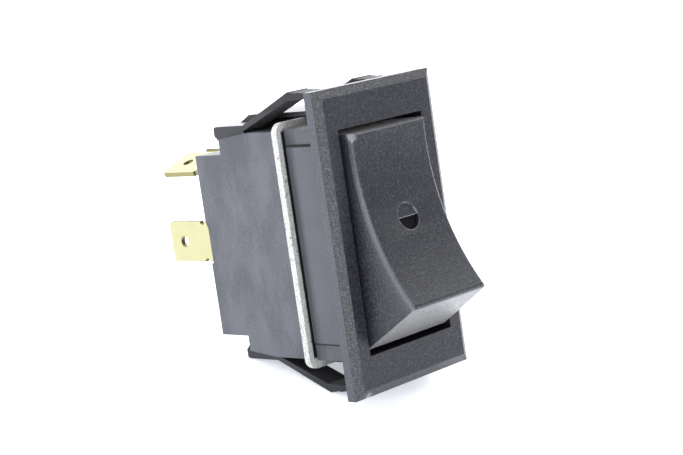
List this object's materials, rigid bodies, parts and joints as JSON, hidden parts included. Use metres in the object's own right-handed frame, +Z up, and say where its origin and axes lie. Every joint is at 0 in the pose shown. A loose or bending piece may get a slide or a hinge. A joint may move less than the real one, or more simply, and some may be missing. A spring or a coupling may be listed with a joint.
{
  "type": "panel rocker switch",
  "caption": "Snap-in panel rocker switch with an oblong bezel, curved rocker, sprung side wings and quick-connect tabs.",
  "frame": {"origin": "centre of the bezel's seating rim, on the plane that meets the panel's front", "axes": "+Z up along the bezel's length, +X across it, +Y from the rocker through the panel to the terminals"},
  "size_m": [0.0246, 0.05, 0.0446],
  "materials": {
    "bezel_nylon": "coarse spark-eroded near-black nylon",
    "rocker_nylon": "coarse spark-eroded near-black nylon",
    "gasket_fibre": "pale grey speckled die-cut fibre",
    "housing_grey": "smooth satin mid-grey moulding",
    "ivory_nylon": "smooth",
    "spring_steel": "drawn wire",
    "copper_alloy": "rolled strip",
    "silver_alloy": "satin",
    "brass": "rolled strip",
    "terminal_brass": "pale rolled strip"
  },
  "bodies": {
    "switch_body": {"bezel_frame": "bezel_nylon", "gasket": "gasket_fibre", "base_housing": "housing_grey", "left_cradle": "brass", "left_cradle_rivet": "brass", "left_centre_terminal": "terminal_brass", "left_end_terminal": "terminal_brass", "left_fixed_contact": "silver_alloy", "right_cradle": "brass", "right_cradle_rivet": "brass", "right_centre_terminal": "terminal_brass", "right_end_terminal": "terminal_brass", "right_fixed_contact": "silver_alloy"},
    "rocker": {"rocker": "rocker_nylon", "left_plunger_spring": "spring_steel", "right_plunger_spring": "spring_steel"},
    "left_plunger": {"left_plunger": "ivory_nylon"},
    "left_blade": {"left_contact_blade": "copper_alloy", "left_moving_contact": "silver_alloy"},
    "right_plunger": {"right_plunger": "ivory_nylon"},
    "right_blade": {"right_contact_blade": "copper_alloy", "right_moving_contact": "silver_alloy"}
  },
  "joints": [
    {"name": "rocker_pivot", "type": "hinge", "parent": "switch_body", "child": "rocker", "pos_m": [0, 0.0027, 0], "axis": [1, 0, 0], "range_deg": [0, 33]},
    {"name": "left_plunger_slide", "type": "slide", "parent": "rocker", "child": "left_plunger", "axis": [0, -0.9588, 0.284], "range_m": [0, 0.0007], "stiffness_N_per_m": 800, "deforming": ["left_plunger_spring"]},
    {"name": "left_blade_tilt", "type": "hinge", "parent": "switch_body", "child": "left_blade", "pos_m": [-0.0046, 0.01716, 0], "axis": [1, 0, 0], "range_deg": [-14, 0]},
    {"name": "right_plunger_slide", "type": "slide", "parent": "rocker", "child": "right_plunger", "axis": [0, -0.9588, 0.284], "range_m": [0, 0.0007], "stiffness_N_per_m": 800, "deforming": ["right_plunger_spring"]},
    {"name": "right_blade_tilt", "type": "hinge", "parent": "switch_body", "child": "right_blade", "pos_m": [0.0046, 0.01716, 0], "axis": [1, 0, 0], "range_deg": [-14, 0]}
  ],
  "couplings": [
    {"joint": "left_blade_tilt", "follows": "rocker_pivot", "ratio": -0.42424},
    {"joint": "right_blade_tilt", "follows": "rocker_pivot", "ratio": -0.42424}
  ]
}
